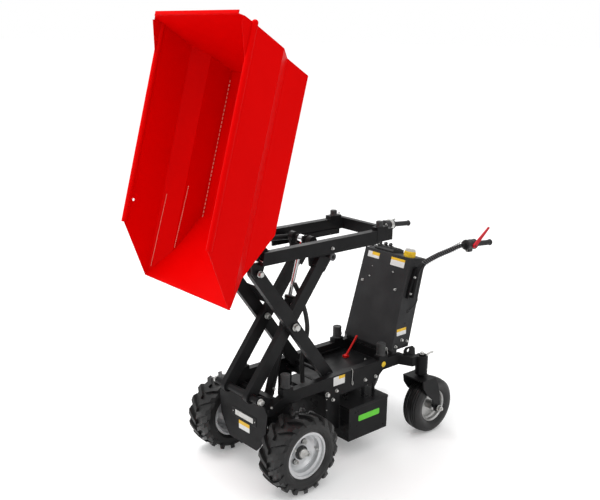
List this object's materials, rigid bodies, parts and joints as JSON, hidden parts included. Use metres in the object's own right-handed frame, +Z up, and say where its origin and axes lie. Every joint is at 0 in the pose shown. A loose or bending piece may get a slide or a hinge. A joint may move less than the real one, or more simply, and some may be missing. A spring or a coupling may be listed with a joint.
{
  "type": "walk-behind site dumper",
  "caption": "Walk-behind electric site dumper: scissor lift raises a red forward-tipping skip on a black frame with lugged front wheels and rear swivel casters",
  "frame": {"origin": "middle of the bounding box in plan, on the ground under the wheels", "axes": "+Z up; -Y forward, the end the skip tips over; +X the left-hand side seen from the front, the side with the red hand lever"},
  "size_m": [0.767, 2.0127, 2.2872],
  "materials": {
    "skip_red": "gloss",
    "frame_black": "satin",
    "scissor_black": "satin",
    "console_black": "matt",
    "battery_black": "satin",
    "tyre_rubber": "matt",
    "rim_silver": "gloss",
    "caster_zinc": "satin",
    "bumper_rubber": "matt",
    "grip_rubber": "matt",
    "chrome_rod": "mirror",
    "zinc_steel": "satin",
    "cap_yellow": "satin",
    "lever_red": "gloss",
    "plastic_black": "matt",
    "drive_alloy": "satin",
    "prop_red": "gloss"
  },
  "bodies": {
    "base": {"base_frame": "frame_black", "front_plate": "frame_black", "base_bumpers": "bumper_rubber", "front_axle": "frame_black", "drive_motors": "drive_alloy", "battery_box": "battery_black", "battery_lid": "battery_black", "battery_pack": "plastic_black", "console": "console_black", "control_panel": "plastic_black", "filler_cap": "cap_yellow", "handlebar": "frame_black", "grips": "grip_rubber", "bar_clamps": "plastic_black", "safety_prop": "prop_red", "lower_tracks": "frame_black"},
    "front_wheel_left": {"front_tyre_left": "tyre_rubber", "front_rim_left": "rim_silver"},
    "front_wheel_right": {"front_tyre_right": "tyre_rubber", "front_rim_right": "rim_silver"},
    "caster_left": {"caster_fork_left": "frame_black"},
    "caster_right": {"caster_fork_right": "frame_black"},
    "caster_wheel_left": {"caster_tyre_left": "tyre_rubber", "caster_rim_left": "caster_zinc"},
    "caster_wheel_right": {"caster_tyre_right": "tyre_rubber", "caster_rim_right": "caster_zinc"},
    "inner_scissor": {"inner_arms": "scissor_black", "centre_pins": "zinc_steel"},
    "outer_scissor": {"outer_arms": "scissor_black"},
    "upper_roller_pair": {"upper_rollers": "zinc_steel"},
    "lower_roller_pair": {"lower_rollers": "zinc_steel"},
    "platform": {"top_frame": "frame_black", "top_bumpers": "bumper_rubber", "upper_tracks": "frame_black"},
    "skip_body": {"skip": "skip_red"},
    "lift_barrel": {"lift_cylinder_barrel": "scissor_black"},
    "lift_rod": {"lift_cylinder_rod": "chrome_rod"},
    "tip_barrels": {"tip_cylinder_barrels": "scissor_black"},
    "tip_rods": {"tip_cylinder_rods": "chrome_rod"},
    "drive_lever_body": {"drive_lever": "lever_red"},
    "brake_lever_body": {"brake_lever": "zinc_steel"}
  },
  "joints": [
    {"name": "front_left_wheel_spin", "type": "hinge", "parent": "base", "child": "front_wheel_left", "pos_m": [0.301, -0.434, 0.203], "axis": [1, 0, 0], "continuous": true},
    {"name": "front_right_wheel_spin", "type": "hinge", "parent": "base", "child": "front_wheel_right", "pos_m": [-0.301, -0.434, 0.203], "axis": [1, 0, 0], "continuous": true},
    {"name": "left_caster_swivel", "type": "hinge", "parent": "base", "child": "caster_left", "pos_m": [0.28, 0.494, 0.362], "axis": [0, 0, 1], "continuous": true},
    {"name": "right_caster_swivel", "type": "hinge", "parent": "base", "child": "caster_right", "pos_m": [-0.28, 0.494, 0.362], "axis": [0, 0, 1], "continuous": true},
    {"name": "left_caster_wheel_spin", "type": "hinge", "parent": "caster_left", "child": "caster_wheel_left", "pos_m": [0.28, 0.563, 0.16], "axis": [1, 0, 0], "continuous": true},
    {"name": "right_caster_wheel_spin", "type": "hinge", "parent": "caster_right", "child": "caster_wheel_right", "pos_m": [-0.28, 0.563, 0.16], "axis": [1, 0, 0], "continuous": true},
    {"name": "lift", "type": "hinge", "parent": "base", "child": "inner_scissor", "pos_m": [0, -0.58, 0.462], "axis": [-1, 0, 0], "range_deg": [0, 48.47]},
    {"name": "scissor_cross", "type": "hinge", "parent": "inner_scissor", "child": "outer_scissor", "pos_m": [0, -0.33733, 0.785], "axis": [1, 0, 0], "range_deg": [0, 96.96]},
    {"name": "platform_level", "type": "hinge", "parent": "outer_scissor", "child": "platform", "pos_m": [0, -0.58, 1.108], "axis": [-1, 0, 0], "range_deg": [0, 48.48]},
    {"name": "skip_tip", "type": "hinge", "parent": "platform", "child": "skip_body", "pos_m": [0, -0.579, 1.234], "axis": [-1, 0, 0], "range_deg": [0, 75.4]},
    {"name": "upper_roller_spin", "type": "hinge", "parent": "inner_scissor", "child": "upper_roller_pair", "pos_m": [0, -0.09467, 1.108], "axis": [1, 0, 0], "continuous": true},
    {"name": "lower_roller_spin", "type": "hinge", "parent": "outer_scissor", "child": "lower_roller_pair", "pos_m": [0, -0.09467, 0.462], "axis": [1, 0, 0], "continuous": true},
    {"name": "lift_cylinder_swing", "type": "hinge", "parent": "base", "child": "lift_barrel", "pos_m": [0, -0.389, 0.355], "axis": [-1, 0, 0], "range_deg": [0, 51.03]},
    {"name": "lift_cylinder_stroke", "type": "slide", "parent": "lift_barrel", "child": "lift_rod", "axis": [0, 0.2541, 0.9672], "range_m": [-0.17699, 0]},
    {"name": "tip_cylinder_swing", "type": "hinge", "parent": "platform", "child": "tip_barrels", "pos_m": [0, -0.142, 1.17], "axis": [1, 0, 0], "range_deg": [0, 4.9]},
    {"name": "tip_cylinder_stroke", "type": "slide", "parent": "tip_barrels", "child": "tip_rods", "axis": [0, -0.9974, 0.072], "range_m": [0, 0.08227]},
    {"name": "drive_lever_press", "type": "hinge", "parent": "base", "child": "drive_lever_body", "pos_m": [0.313, 0.8169, 1.065], "axis": [-1, 0, 0], "range_deg": [0, 18], "stiffness_Nm_per_rad": 0.4},
    {"name": "brake_lever_press", "type": "hinge", "parent": "base", "child": "brake_lever_body", "pos_m": [-0.313, 0.8169, 1.065], "axis": [-1, 0, 0], "range_deg": [0, 6], "stiffness_Nm_per_rad": 0.4}
  ],
  "couplings": [
    {"joint": "scissor_cross", "follows": "lift", "ratio": 2},
    {"joint": "platform_level", "follows": "lift", "ratio": 1},
    {"joint": "lift_cylinder_swing", "follows": "lift", "ratio": 1.0524},
    {"joint": "lift_cylinder_stroke", "follows": "lift", "m_per_rad": -0.20863},
    {"joint": "tip_cylinder_swing", "follows": "skip_tip", "ratio": 0.064697},
    {"joint": "tip_cylinder_stroke", "follows": "skip_tip", "m_per_rad": 0.062133}
  ]
}
